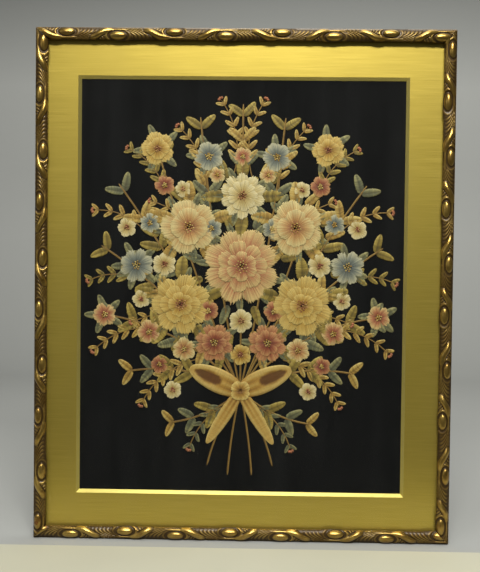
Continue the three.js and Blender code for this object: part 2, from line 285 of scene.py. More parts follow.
# Small blossoms between the blooms, and sprigs from a point among them outwards, also of the right half
BLOSSOMS = table(
    "at radius petals palette",
    ((128, 36), 20, 6, "cream"),
    ((128, 166), 17, 5, "red"),
    ((42, 184), 14, 5, "blush"),
    ((0, 214), 16, 5, "rose"),
    ((0, -56), 20, 6, "cream"),
    ((0, -112), 18, 5, "gold"),
    ((94, -104), 20, 6, "blush"),
    ((152, -76), 20, 5, "rose"),
    ((166, -22), 15, 5, "cream"),
    ((190, 96), 16, 5, "cream"),
    ((98, 160), 14, 5, "cream"),
    ((152, 104), 17, 6, "blue"),
    ((50, 96), 17, 6, "blue"),
    ((54, -40), 17, 5, "red"),
    ((134, -130), 15, 5, "red"),
    ((112, -172), 15, 5, "cream"),
)
SPRIGS = table(
    "root tip pairs palette",
    ((16, 180), (36, 306), 6, "straw"),
    ((60, 150), (106, 262), 6, "straw"),
    ((126, 150), (188, 226), 5, "olive"),
    ((160, 90), (244, 124), 4, "straw"),
    ((170, 10), (252, 8), 4, "olive"),
    ((140, -70), (244, -108), 5, "straw"),
    ((70, -120), (164, -196), 6, "straw"),
    ((10, -190), (84, -268), 5, "teal"),
    ((60, 60), (150, 140), 5, "straw"),
    ((60, -60), (180, -60), 6, "straw"),
)
SPRIG = Sizes(
    steps=46,
    width=1.9,
    height=0.25,
    bend=0.12,
    first=0.22,
    last=0.94,
    leaf=21,
    fullest=1.1,
    shrink=0.4,
    slimness=0.4,
    lean=42,
    berry=2.6,
    berry_at=1.6,
    berry_height=0.3,
    berry_turns=(-40, 0, 40),
)
COLLAR = Sizes(length=38, width=21, height=0.35, sunk=8, kinds=("straw", "olive"))
UNDER = Sizes(length=26, width=12, height=0.2, sunk=12, spacing=7, turn=9, fewest=5)
# Rings of leaves that fill the ground between the blooms, all round a middle point
FILL = Sizes(middle=(0, 32), slimness=0.42, height=0.2, turn=5)
FILL_RINGS = table(
    "radius count length kinds",
    (66, 12, 34, ("olive", "straw", "teal")),
    (106, 18, 36, ("straw", "teal", "olive")),
    (146, 22, 34, ("olive", "straw")),
)
BOW_LOOP = Sizes(length=92, width=40, slope=24, height=0.8, open=1)
BOW_TAIL = Sizes(length=104, width=22, slope=-58, height=0.5, open=0)
BOW_KNOT = Sizes(radius=17, petals=4, turn=45, spread=100, height=1.9, rise=0.9)
RIBBON = Sizes(
    columns=13,
    widest_power=0.8,
    edge=0.94,
    tip=0.95,
    rise=1.2,
    folds=3,
    fold_fade=1.5,
    fold_rise=0.4,
    tone=0.66,
    tone_edge=0.34,
    # The next one paints the folds lighter where they rise and darker where they sink: painted light and
    # painted shade
    tone_fold=0.3,
    tone_root=0.5,
    tone_mix=0.03,
    shade_mix=0.04,
)
# The dark opening of a loop, in shares of its length and half width, and how far it is sunk. Its dark and
# shade make the opening darker: painted shade.
OPENING = Sizes(at=0.64, reach=0.26, width=0.5, edge=0.3, sunk=0.8, dark=0.75, shade=0.25)
# Thread colours from the heart of a petal or the root of a leaf to its edge
THREADS = {
    "rose": ((118, 44, 36), (186, 112, 78), (226, 198, 132)),
    "blush": ((134, 56, 44), (204, 156, 94), (230, 212, 148)),
    "gold": ((122, 76, 22), (190, 148, 58), (224, 196, 112)),
    "cream": ((150, 112, 50), (212, 190, 122), (236, 224, 172)),
    "red": ((88, 28, 26), (150, 68, 50), (206, 152, 100)),
    "blue": ((58, 72, 80), (118, 130, 122), (198, 196, 162)),
    "ribbon": ((112, 62, 22), (190, 146, 62), (230, 204, 122)),
    "olive": ((66, 58, 18), (138, 118, 44), (198, 176, 88)),
    "teal": ((46, 56, 50), (94, 102, 76), (164, 160, 106)),
    "straw": ((106, 74, 24), (182, 146, 64), (222, 200, 120)),
    "bark": ((92, 62, 24), (148, 112, 46), (190, 158, 82)),
}
PALETTES = {name: [linear(*colour) for colour in colours] for name, colours in THREADS.items()}

# The studio, in metres. What surrounds the object is matt.
MATT = {"Roughness": 0.9, "Specular_IOR_Level": 0.1}
FLOOR_REACH, FLOOR_FRONT, FLOOR_EDGE = -4.0, -0.27, -0.044
FLOOR_DROP = 0.0006
SWEEP = Sizes(back=2.9, height=2.6, half_width=6, radius=0.9, steps=17)
# The sweep's greys, by the share of its height. The darker greys along the floor and towards the top are
# painted shade.
SWEEP_GREYS = [
    (0.0, linear(162, 164, 163)),
    (0.12, linear(168, 170, 169)),
    (0.22, linear(174, 176, 175)),
    (0.5, linear(174, 176, 175)),
    (0.66, linear(134, 136, 135)),
]
LIGHTS = table(
    "name at to size watts",
    ("key", (0.12, -2.4, 2.5), (0, 0, 0.5), (1.3, 0.45), 103),
    ("overhead", (0, -0.95, 2.6), (0, 0, 0.3), (1.1, 1.1), 26),
    ("left_fill", (-2.3, -1.6, 1.2), (0, 0, 0.4), (1.2, 1.2), 5),
    ("backdrop_wash", (0.6, 1.0, 2.8), (0.3, 2.6, 0.4), (2.4, 2.4), 40),
)
LIGHT_TINT = (1.0, 0.98, 0.91)
WORLD = Sizes(colour=(0.55, 0.56, 0.56), strength=0.13)


def ease(x):
    """A smooth step from 0 to 1 as x goes from 0 to 1."""
    t = np.clip(x, 0, 1)
    return t * t * (3 - 2 * t)


def dome(x):
    """A round-topped bump of height 1 for x between -1 and 1."""
    return np.sqrt(np.maximum(0, 1 - np.square(x)))


def lerp(a, b, share):
    return a + (b - a) * share


def smoothed(field, times):
    """A grid of values, each averaged with its neighbours that many times."""
    for _ in range(times):
        for axis in (0, 1):
            before = np.take(field, np.r_[0, 0 : field.shape[axis] - 1], axis)
            after = np.take(field, np.r_[1 : field.shape[axis], field.shape[axis] - 1], axis)
            field = (before + field + after) / 3
    return field


def add_piece(name, points, faces, material):
    """A smooth mesh piece from points in millimetres, on the one body."""
    mesh = bpy.data.meshes.new(name)
    mesh.from_pydata((np.asarray(points) * MM).tolist(), [], faces)
    mesh.shade_smooth()
    piece = bpy.data.objects.new(name, mesh)
    bpy.context.scene.collection.objects.link(piece)
    piece.data.materials.append(material)
    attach(piece, "root")
    return piece


def add_values(piece, name, values):
    """Stores one number at each point of a piece."""
    layer = piece.data.attributes.new(name, "FLOAT", "POINT")
    layer.data.foreach_set("value", np.asarray(values, np.float32).ravel())


def add_colours(piece, name, colours):
    """Stores one linear colour at each point of a piece."""
    layer = piece.data.attributes.new(name, "FLOAT_COLOR", "POINT")
    full = np.concatenate([colours, np.ones((len(colours), 1))], 1)
    layer.data.foreach_set("color", full.astype(np.float32).ravel())


def grid_faces(rows, columns, first=0, closed=False):
    """Quads between the points of a grid that is numbered row by row."""
    index = first + np.arange(rows * columns).reshape(rows, columns)
    if closed:
        index = np.concatenate([index, index[:, :1]], 1)
    corners = [index[:-1, :-1], index[:-1, 1:], index[1:, 1:], index[1:, :-1]]
    return np.stack(corners, -1).reshape(-1, 4).tolist()


# Node helpers

# The numbers of the colour mixing node's inputs and output: its share, its two colours and the result
MIX_INPUTS, MIX_OUTPUT = (0, 6, 7), 2


class Nodes:
    """A new material, and short ways to add and join its nodes."""

    def __init__(self, name):
        self.material = bpy.data.materials.new(name)
        self.material.use_nodes = True
        self.tree = self.material.node_tree
        self.shader = self.tree.nodes["Principled BSDF"]
        self.output = self.tree.nodes["Material Output"]

    def add(self, kind, **settings):
        node = self.tree.nodes.new(kind)
        for name, value in settings.items():
            setattr(node, name, value)
        return node

    def put(self, value, socket):
        """Joins an output to an input, or sets a plain value there."""
        if isinstance(value, bpy.types.NodeSocket):
            self.tree.links.new(value, socket)
        else:
            socket.default_value = value

    def fill(self, node, **values):
        """Fills inputs of a node by their names, which are written with _ for a space."""
        for name, value in values.items():
            self.put(value, node.inputs[name.replace("_", " ")])
        return node

    def feed(self, node, *values):
        """Fills the inputs of a node in their order, and gives its first output."""
        for value, socket in zip(values, node.inputs):
            self.put(value, socket)
        return node.outputs[0]

    def look(self, **values):
        self.fill(self.shader, **values)

    def place(self, scale=(1, 1, 1)):
        """Positions on the object, in metres, stretched."""
        where = self.add("ShaderNodeTexCoord").outputs["Object"]
        return self.fill(self.add("ShaderNodeMapping"), Vector=where, Scale=scale).outputs["Vector"]

    def noise(self, vector, scale, detail=3, roughness=0.6):
        node = self.add("ShaderNodeTexNoise")
        self.fill(node, Vector=vector, Scale=scale, Detail=detail, Roughness=roughness)
        return node.outputs["Fac"]

    def wave(self, vector, scale, direction):
        node = self.add("ShaderNodeTexWave", bands_direction=direction)
        self.fill(node, Vector=vector, Scale=scale, Distortion=0, Detail=2, Detail_Scale=1.5)
        return node.outputs["Fac"]

    def attribute(self, name, output):
        return self.add("ShaderNodeAttribute", attribute_name=name).outputs[output]

    def ramp(self, value, stops):
        """Colours, or greys where a stop is one number, by a value from 0 to 1."""
        node = self.add("ShaderNodeValToRGB")
        elements = node.color_ramp.elements
        while len(elements) < len(stops):
            elements.new(0.5)
        for element, (at, colour) in zip(elements, stops):
            element.position = at
            rgb = (colour,) * 3 if isinstance(colour, (int, float)) else colour
            element.color = (*rgb, 1)
        return self.fill(node, Fac=value).outputs["Color"]

    def mix(self, share, first, second, blend="MIX"):
        """Two colours mixed. share, first and second are outputs or plain values."""
        node = self.add("ShaderNodeMix", data_type="RGBA", blend_type=blend)
        for number, value in zip(MIX_INPUTS, (share, first, second)):
            self.put((*value, 1) if isinstance(value, tuple) else value, node.inputs[number])
        return node.outputs[MIX_OUTPUT]

    def maths(self, operation, *values):
        return self.feed(self.add("ShaderNodeMath", operation=operation), *values)

    def mix_shaders(self, share, first, second):
        return self.feed(self.add("ShaderNodeMixShader"), share, first, second)

    def bump(self, height, distance, strength):
        node = self.fill(self.add("ShaderNodeBump"), Height=height, Distance=distance, Strength=strength)
        self.look(Normal=node.outputs["Normal"])


# Materials


def carved_gilt():
    """Old gilding: bright on the heights, rubbed to red-brown bole on edges, dark in the hollows with
    patina and painted shade, and with painted shade along the outer rim.
    """
    n = Nodes("carved_gilt")
    hollow = n.attribute("hollow", "Fac")
    worn = n.attribute("worn", "Fac")
    cloudy = n.noise(n.place(), 38, 4)
    gold = n.ramp(cloudy, [(0.3, linear(138, 108, 46)), (0.7, linear(188, 158, 82))])
    bole = n.ramp(n.noise(n.place(), 240, 3), [(0.3, linear(96, 56, 24)), (0.7, linear(136, 88, 40))])
    patch = n.ramp(n.noise(n.place(), 95, 6, 0.7), [(0.5, 0.0), (0.64, 1.0)])
    rubbed = n.maths("MULTIPLY", n.maths("ADD", worn, 0.4), patch)
    # Dark brown where the carving is hollow: patina together with painted shade, and painted shade along
    # the outer rim
    patina_and_shade = n.ramp(hollow, [(0.2, 0.0), (0.72, 1.0)])
    rough = n.ramp(hollow, [(0.25, 0.23), (0.7, 0.5)])
    n.look(
        Base_Color=n.mix(patina_and_shade, n.mix(rubbed, gold, bole), linear(62, 45, 16)),
        Roughness=n.maths("ADD", rough, n.maths("MULTIPLY", cloudy, 0.14)),
        Metallic=n.ramp(patina_and_shade, [(0.0, 0.9), (1.0, 0.5)]),
        Specular_IOR_Level=0.25,
        Coat_Weight=0.25,
        Coat_Roughness=0.25,
    )
    n.bump(n.noise(n.place(), 420, 4), 0.0004, 0.5)
    return n.material


def mount_gilt():
    """Satin gilding over board, brushed sideways, with faint clouds and a paler bevel."""
    n = Nodes("mount_gilt")
    brushed = n.noise(n.place((9, 40, 640)), 1.6, 5)
    clouds = n.noise(n.place((1, 1, 1.6)), 7)
    gold = n.ramp(brushed, [(0.3, linear(190, 168, 72)), (0.7, linear(206, 184, 86))])
    dull = n.mix(0.14, gold, linear(150, 124, 50))
    normal = n.add("ShaderNodeNewGeometry").outputs["True Normal"]
    forward = n.fill(n.add("ShaderNodeSeparateXYZ"), Vector=normal).outputs["Y"]
    bevel = n.ramp(n.maths("ABSOLUTE", forward), [(0.78, 1.0), (0.9, 0.0)])
    n.look(
        Base_Color=n.mix(bevel, n.mix(clouds, dull, gold), linear(212, 196, 110)),
        Metallic=0.82,
        Roughness=n.ramp(brushed, [(0.2, 0.35), (0.8, 0.43)]),
    )
    n.bump(brushed, 0.00015, 0.4)
    return n.material


def picture_glass():
    """Thin clear glass: seen through, with a soft reflection and the faintest film of dust, laid in upright
    streaks that are also painted reflection streaks.
    """
    n = Nodes("glass")
    clear = n.add("ShaderNodeBsdfTransparent").outputs[0]
    gloss = n.fill(n.add("ShaderNodeBsdfGlossy"), Roughness=0.03).outputs[0]
    film = n.fill(n.add("ShaderNodeBsdfDiffuse"), Color=(0.8, 0.84, 0.86, 1)).outputs[0]
    fresnel = n.fill(n.add("ShaderNodeFresnel"), IOR=1.45).outputs[0]
    # The film's upright streaks are dust together with painted reflection streaks
    dust_and_painted_streaks = n.ramp(n.noise(n.place((26, 1, 2)), 1.0, 4), [(0.4, 0.0), (0.8, 0.003)])
    misted_and_streaked = n.mix_shaders(dust_and_painted_streaks, clear, film)
    n.fill(n.output, Surface=n.mix_shaders(n.maths("MULTIPLY", fresnel, 0.14), misted_and_streaked, gloss))
    return n.material


def black_cloth():
    """Matt black cloth with a fine weave and a soft bloom on its pile."""
    n = Nodes("black_cloth")
    weave = n.maths("MULTIPLY", n.wave(n.place(), 330, "X"), n.wave(n.place(), 330, "Z"))
    black = n.ramp(n.noise(n.place(), 16, 4), [(0.3, linear(3, 4, 4)), (0.7, linear(10, 11, 11))])
    n.look(
        Base_Color=n.mix(n.maths("MULTIPLY", weave, 0.35), black, linear(18, 20, 20)),
        Roughness=0.94,
        Specular_IOR_Level=0.2,
        Sheen_Weight=0.02,
        Sheen_Roughness=0.5,
    )
    n.bump(weave, 0.0001, 0.4)
    return n.material


def needlework_thread():
    """Silk and wool thread: its dyed colour, which also holds painted light and shade, with fibres and a
    low sheen.
    """
    n = Nodes("needlework_thread")
    # The stored thread colours are dye together with painted light and shade on knots, stitches, petals and
    # the bow
    dyed_and_painted = n.attribute("thread", "Color")
    fibres = n.noise(n.place(), 900, 4, 0.7)
    faded = n.maths("MULTIPLY", n.noise(n.place(), 30), 0.3)
    spun = n.mix(1.0, dyed_and_painted, n.ramp(fibres, [(0.25, 0.54), (0.75, 0.92)]), "MULTIPLY")
    n.look(
        Base_Color=n.mix(faded, spun, linear(122, 102, 30)),
        Roughness=0.58,
        Specular_IOR_Level=0.35,
        Sheen_Weight=0.15,
    )
    n.bump(fibres, 0.0003, 0.5)
    return n.material


def back_board():
    """A plain brown board with flecks and faint streaks."""
    n = Nodes("back_board")
    flecks = n.noise(n.place(), 320)
    streaks = n.noise(n.place((3, 1, 22)), 9, 5)
    brown = n.ramp(streaks, [(0.3, linear(120, 90, 58)), (0.7, linear(152, 120, 82))])
    n.look(Base_Color=n.mix(n.maths("MULTIPLY", flecks, 0.35), brown, linear(84, 60, 38)), Roughness=0.86)
    n.bump(flecks, 0.0003, 0.4)
    return n.material


def plain_matt(name, low, high):
    """A plain matt surface for what isn't part of the object."""
    n = Nodes(name)
    n.look(Base_Color=n.ramp(n.noise(n.place(), 3, 2), [(0.3, low), (0.7, high)]), **MATT)
    return n.material


def sweep_grey():
    """The matt grey of the sweep, a little darker along the floor and towards the top as painted shade."""
    n = Nodes("grey_sweep")
    where = n.place((1, 1, 1 / SWEEP.height))
    height = n.fill(n.add("ShaderNodeSeparateXYZ"), Vector=where).outputs["Z"]
    n.look(Base_Color=n.ramp(height, SWEEP_GREYS), **MATT)
    return n.material


# The carved rails


def place_in_repeat(s, rail):
    """The egg last passed: whether it is an inner one, how far back it is, the next one and its number."""
    turns = (s - rail.egg) / rail.repeat
    in_repeat = (turns - np.floor(turns)) * rail.repeat
    inner = in_repeat >= CARVING.inner_egg
    span = np.where(inner, rail.repeat - CARVING.inner_egg, CARVING.inner_egg)
    past = np.where(inner, in_repeat - CARVING.inner_egg, in_repeat)
    number = (2 * np.floor(turns) + inner).astype(int)
    return inner, past, span, number


def edge_fullness(s, rail, inner_edge):
    """How full the carving is at one edge, from 0 between the eggs to 1 beside an egg."""
    inner, past, span, _ = place_in_repeat(s, rail)
    to_egg = np.where(inner == inner_edge, past, span - past)
    return dome(2 * to_egg / (CARVING.egg_edge * CARVING.egg_length))


def egg_reliefs(along, across, number, uneven):
    """One egg, the groove round it, the scroll round that, and how far out a place is. uneven holds a
    few sizes, so that no two eggs in a row are quite alike."""
    size = uneven[number % len(uneven)]
    reach_along = 2 * along / (CARVING.egg_length * size)
    reach_across = 2 * (across - CARVING.egg_at) / CARVING.egg_width
    reach = np.hypot(reach_along, reach_across)
    egg = CARVING.egg_rise * size * dome(reach) ** EGG_BLUNTNESS
    behind = ease(0.5 + 0.5 * reach_along)
    deep = GROOVE.depth * lerp(1, GROOVE.least, behind)
    groove = deep * np.exp(-(((reach - GROOVE.reach) / GROOVE.width) ** 2))
    tall = SCROLL.rise * lerp(1, SCROLL.least, behind)
    scroll = tall * np.exp(-(((reach - SCROLL.reach) / SCROLL.width) ** 2))
    return egg, groove, scroll, reach


def ridges(phase):
    """Round ridges side by side, each 1 high and 1 wide."""
    return np.abs(np.sin(np.pi * phase)) ** RIDGE_BLUNTNESS


def carved_relief(s, v, rail, uneven):
    """Eggs, ribbon, lobes and flutes over the plain rounded ground."""
    width = MOULDING.width
    inner, past, span, number = place_in_repeat(s, rail)
    from_edge = np.where(inner, width - v, v)
    share = past / span
    crossing = ease((share - CARVING.cross_from) / (CARVING.cross_to - CARVING.cross_from))
    centre = lerp(CARVING.ribbon_at, width - CARVING.ribbon_at, crossing)
    lobe = dome((share - CARVING.lobe_at) / CARVING.lobe_reach)
    half = lerp(CARVING.ribbon_width, CARVING.lobe_width, lobe) / 2
    bulge = ease((share - CARVING.cross_from) / CARVING.lobe_reach)
    rise = lerp(CARVING.ribbon_rise * bulge, LOBE.rise, lobe ** LOBE.roundness)
    tail = ease((RIBBON_ENDS.tail - past) / RIBBON_ENDS.tail_fade)
    head = ease((share - RIBBON_ENDS.head) / RIBBON_ENDS.head_fade)
    passing = CARVING.ribbon_rise * tail * dome((from_edge - centre) / half)
    ribbon = rise * head * dome((from_edge - centre) / half)
    egg_here, groove_here, scroll_here, reach = egg_reliefs(past, from_edge, number, uneven)
    there = (past - span, width - from_edge, number + 1)
    egg_there, groove_there, scroll_there, _ = egg_reliefs(*there, uneven)
    bend = FLUTES.curve * np.square(from_edge - CARVING.egg_at + FLUTES.turn)
    begin = ease((reach - FLUTES.after) / FLUTES.after_fade)
    beside = ease((lerp(2 * width, centre - half, head) - from_edge) / BESIDE)
    beside = beside * ease(from_edge / FLUTES.edge)
    flute = FLUTES.rise * ridges((past + bend) / FLUTES.pitch) * begin * beside
    begin = ease((past - BACK_FLUTES.start) / BACK_FLUTES.fade)
    end = ease((span - BACK_FLUTES.stop - past) / BACK_FLUTES.fade)
    beyond = ease((from_edge - centre - half) / BESIDE) * head
    slant = (past - BACK_FLUTES.lean * from_edge) / BACK_FLUTES.pitch
    back_flute = BACK_FLUTES.rise * ridges(slant) * begin * end * beyond
    carved = np.maximum.reduce([passing, ribbon, flute, back_flute, scroll_here, scroll_there])
    return np.maximum.reduce([carved - groove_here - groove_there, egg_here, egg_there])


def rail_grid(rail, uneven):
    """The rail's rings of points as s, v and y, and how hollow the carving is at each, with painted shade
    added along the outer rim.
    """
    width, side = MOULDING.width, MOULDING.side
    share = np.linspace(0, 1, round(rail.length / CARVED_STEP) + 1)[:, None]

    def along(v):
        return lerp(v + MITRE, rail.length - v - MITRE, share)

    middle = along(width / 2)
    outer = MOULDING.margin + MOULDING.recess * (1 - edge_fullness(middle, rail, False))
    inner = width - MOULDING.recess * (1 - edge_fullness(middle, rail, True))
    v = lerp(outer, inner, np.linspace(0, 1, CARVED_ACROSS + 1)[None, :])
    s = along(v)
    relief = carved_relief(s, v, rail, uneven)
    ground = MOULDING.crown * (1 - np.abs(2 * v / width - 1) ** MOULDING.swell)
    y = side - ground - relief
    y[:, 0] = y[:, -1] = side
    # sunk and low darken the hollows: dark patina together with painted shade
    sunk = np.clip((smoothed(relief, HOLLOW.spread) - relief) / HOLLOW.depth, -1, 1)
    low = np.clip(1 - relief / HOLLOW.floor, 0, 1)
    # rim darkens the outer rim of the carving: painted shade
    rim = np.exp(-((v / HOLLOW.rim_reach) ** 2))
    hollow = HOLLOW.low * low + HOLLOW.sunk * (0.5 + 0.5 * sunk) + HOLLOW.rim * rim
    # The plain sides, from the sight edge round the back to the outer side
    section = [
        (MOULDING.lip, side),
        (MOULDING.lip, MOULDING.lip_back),
        (MOULDING.rabbet, MOULDING.lip_back),
        (MOULDING.rabbet, FRAME_BACK),
        (CHAMFER, FRAME_BACK),
        (0, FRAME_BACK - CHAMFER),
        (0, side + CHAMFER / 2),
    ]
    plain_v = np.array([[corner[0] for corner in section]]) + 0 * share
    plain_y = np.array([[corner[1] for corner in section]]) + 0 * share
    s = np.concatenate([s, along(plain_v)], 1)
    v = np.concatenate([v, plain_v], 1)
    y = np.concatenate([y, plain_y], 1)
    hollow = np.concatenate([hollow, np.array([PLAIN_HOLLOW]) + 0 * share], 1)
    return s, v, y, hollow


def build_rails():
    """The four rails with their fine carving, in place of the coarse ones."""
    gilt = carved_gilt()
    random = np.random.default_rng(SEED)
    for rail in RAILS:
        name = rail.name
        uneven = random.uniform(EGG_SIZES.least, EGG_SIZES.most, EGG_SIZES.count)
        s, v, y, hollow = rail_grid(rail, uneven)
        x = rail.start[0] + s * rail.along[0] + v * rail.inward[0]
        z = rail.start[1] + s * rail.along[1] + v * rail.inward[1]
        rows, columns = s.shape
        faces = grid_faces(rows, columns, closed=True)
        faces.append(list(range(columns))[::-1])
        faces.append(list(range((rows - 1) * columns, rows * columns)))
        points = np.stack([x, y, z], -1).reshape(-1, 3)
        piece = add_piece(f"carved_{name}", points, faces, gilt)
        piece.data.set_sharp_from_angle(angle=math.radians(CARVING_SHARP))
        add_values(piece, "hollow", hollow)
        to_corner = np.hypot(HALF_WIDTH - np.abs(x), z)
        add_values(piece, "worn", np.exp(-((to_corner / WORN_REACH) ** 2)))
        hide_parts(name)


# The needlework


class Work:
    """Collects worked forms into one mesh, with a thread colour at each point. A form stands in x and z
    from the middle of the window, and its heights count from the cloth."""

    def __init__(self, random):
        self.random = random
        self.points = []
        self.colours = []
        self.faces = []
        self.count = 0

    def add(self, x, z, height, colours, closed=False):
        rows, columns = x.shape
        y = CLOTH_FRONT - height
        self.points.append(np.stack([x + WINDOW_X, y, z + WINDOW_Z], -1).reshape(-1, 3))
        self.colours.append(colours.reshape(-1, 3))
        self.faces += grid_faces(rows, columns, self.count, closed)
        self.count += rows * columns

    def finish(self, name, material):
        points = np.concatenate(self.points)
        piece = add_piece(name, points, self.faces, material)
        add_colours(piece, "thread", np.concatenate(self.colours))
        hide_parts("needlework")


def shades(share, palette):
    """Colours between a palette's three, by a share from 0 to 1."""
    low, middle, high = (np.array(c) for c in palette)
    t = np.clip(share, 0, 1)[..., None]
    return np.where(t < 0.5, lerp(low, middle, 2 * t), lerp(middle, high, 2 * t - 1))


def half_wave(share, arch):
    """The height of a half wave at a share of the way along an arch."""
    start, reach = arch
    return np.sin(np.pi * (start + reach * share))


def threads_across(count):
    """Three points for each thread: their places from 0 to 1, and the thread's height and number there."""
    place = np.linspace(0, count, 3 * count + 1)
    ridge = THREAD_RISE * np.abs(np.sin(np.pi * place))
    number = np.minimum(place, count - 0.5).astype(int)
    return place / count, ridge, number


def varied(work, number, amount):
    """A random difference for each thread, at each of its points."""
    return amount * work.random.standard_normal(number[-1] + 1)[number]


def turned(x, z, degrees, at):
    """Local points turned and moved to their place."""
    c, s = math.cos(math.radians(degrees)), math.sin(math.radians(degrees))
    return at[0] + c * x - s * z, at[1] + s * x + c * z


def with_skirt(rows):
    """Repeats the first and last rows and columns of a grid, for the edges that go down to the cloth."""
    return np.pad(rows, ((1, 1), (1, 1)), mode="edge")


def add_petal(work, at, degrees, radius, spread, height, rise, palette):
    """A petal in long satin stitches from the bloom's heart to a rounded rim, its sides darker as painted
    shadow between the petals.
    """
    arc = PETAL.arc * radius * math.radians(spread)
    place, ridge, number = threads_across(max(FEWEST_THREADS, round(arc / PETAL_PITCH)))
    w = 2 * place - 1
    u = np.array(PETAL.rows)[:, None]
    end = 1 - PETAL.rounding * np.abs(w) ** PETAL.rounding_power
    r = radius * u * (end + varied(work, number, PETAL.ragged))
    belly = PETAL.waist + PETAL.belly * half_wave(u, PETAL.belly_arch)
    angle = np.radians(0.5 * spread * w) * belly
    x, z = turned(r * np.cos(angle), r * np.sin(angle), degrees, at)
    crest = PETAL.foot + PETAL.crest * half_wave(u, PETAL.crest_arch)
    body = dome(PETAL.edge * w) ** PETAL.flatness * crest
    tall = height + rise * body + ridge * half_wave(u, PETAL.thread_arch) + PETAL.tilt * w
    tone = PETAL.tone_slope * u + PETAL.tone_start + varied(work, number, PETAL.tone_mix)
    shade = 1 + varied(work, number, PETAL.shade_mix)
    # Darker at the sides: painted shadow between the petals
    edge = 1 - PETAL.edge_shade * np.abs(w) ** PETAL.edge_power
    add_form(work, x, z, tall, shades(tone, palette) * (shade * edge * np.ones_like(u))[..., None])


def add_form(work, x, z, tall, colours):
    """Adds a worked form with edges that go down to the cloth."""
    x, z, tall = with_skirt(x), with_skirt(z), with_skirt(tall)
    tall[[0, -1], :] = SKIRT
    tall[:, [0, -1]] = SKIRT
    colours = np.pad(np.clip(colours, 0, 1), ((1, 1), (1, 1), (0, 0)), mode="edge")
    work.add(x, z, tall, colours)


def add_leaf(work, at, degrees, leaf, kind):
    """A leaf in slanting stitches from its rib to its edges. One half is lighter than the other."""
    length = leaf.length
    place, ridge, number = threads_across(max(FEWEST_THREADS, round(length / LEAF_PITCH)))
    t = place[None, :]
    side = np.array(LEAF.sides)[:, None]
    w = np.array(LEAF.rows)[:, None]
    end = t + LEAF.slant * (1 - t) * t ** LEAF.slant_power
    uneven = 1 + varied(work, number, LEAF.ragged)
    x = lerp(t * length, end * length, w)
    z = side * w * 0.5 * leaf.width * dome(2 * end ** LEAF.widest_power - 1) * uneven
    z = z + LEAF.curl * length * work.random.uniform(-1, 1) * (x / length) ** 2
    x, z = turned(x, z, degrees, at)
    crest = LEAF.foot + LEAF.crest * half_wave(w, LEAF.crest_arch)
    body = crest * dome(LEAF.tip * (2 * t - 1))
    tall = leaf.height + LEAF.rise * body + ridge * half_wave(w, LEAF.thread_arch)
    tone = LEAF.tone_start + LEAF.tone_along * t + LEAF.tone_across * w + LEAF.tone_side * side
    tone = tone + varied(work, number, LEAF.tone_mix)
    shade = (1 + varied(work, number, LEAF.shade_mix)) * (1 - LEAF.rib_shade * (w == 0))
    add_form(work, x, z, tall, shades(tone, PALETTES[kind]) * shade[..., None])


def add_knot(work, at, height, radius, colour):
    """A French knot: a small round bead of wound thread, painted darker at its foot and lighter on top as
    painted shade and painted light.
    """
    around = np.linspace(0, 2 * np.pi, KNOT.around + 1)[None, :-1]
    up = np.linspace(0, 1, KNOT.rows)[:, None]
    out = radius * half_wave(up, KNOT.arch)
    x = at[0] + out * np.cos(around)
    z = at[1] + out * np.sin(around)
    tall = height + radius * KNOT.rise * up ** KNOT.roundness + 0 * around
    # Darker at the foot and lighter on top: painted shade and painted light
    shade = work.random.uniform(*KNOT.shades) * (KNOT.foot_shade + KNOT.top_shade * up + 0 * around)
    work.add(x, z, tall, np.clip(np.array(colour) * shade[..., None], 0, 1), closed=True)


def add_heart(work, at, spread, height, palette):
    """A bloom's heart: a patch of knots laid in a sunflower spiral."""
    count = max(HEART.fewest, round(spread * HEART.knots))
    for i in range(count):
        r = spread * math.sqrt((i + HEART.start) / count)
        turn = i * HEART.turn
        place = (at[0] + r * math.cos(turn), at[1] + r * math.sin(turn))
        colour = palette[2] if work.random.random() < HEART.pale else palette[1]
        add_knot(work, place, height + HEART.dome * (1 - r / spread), HEART.knot, colour)


def add_bloom(work, knots, at, bloom, layers):
    """A bloom of one to three rings of petals, with a heart of knots."""
    palette = PALETTES[bloom.palette]
    radius, petals = bloom.radius, bloom.petals
    rise = BLOOM.rise + BLOOM.rise_share * radius
    for layer in range(layers):
        count = petals if layer == 0 else max(BLOOM.fewest, petals - layer)
        spread = 360 / count * BLOOM.overlap
        for i in range(count):
            degrees = 360 * i / count + 180 / count * (layer + 1)
            degrees += work.random.uniform(-BLOOM.turn, BLOOM.turn)
            reach = radius * BLOOM.rings[layer] * work.random.uniform(*BLOOM.reach)
            height = BLOOM.foot + BLOOM.ring_rise * layer + BLOOM.every_other * (i % 2)
            add_petal(work, at, degrees, reach, spread, height, rise, palette)
    spread = radius * (HEART.size if layers > 1 else HEART.single_size)
    seeds = PALETTES["gold" if bloom.palette in HEART.golden else "red"]
    add_heart(knots, at, spread, HEART.foot + HEART.ring_rise * (layers - 1), seeds)


def stem_points(stem, side, steps):
    """Points and headings along a stem, from the tie to its tip."""
    tie, tip = np.array(TIE, float), np.array([side * stem.tip[0], stem.tip[1]], float)
    run = tip - tie
    out = np.array([run[1], -run[0]]) / np.linalg.norm(run) * side * np.sign(run[1])
    middle = (tie + tip) / 2 + out * stem.bow
    t = np.atleast_1d(steps)[:, None]
    points = (1 - t) ** 2 * tie + 2 * t * (1 - t) * middle + t**2 * tip
    heading = 2 * (1 - t) * (middle - tie) + 2 * t * (tip - middle)
    return points, heading / np.linalg.norm(heading, axis=1, keepdims=True)


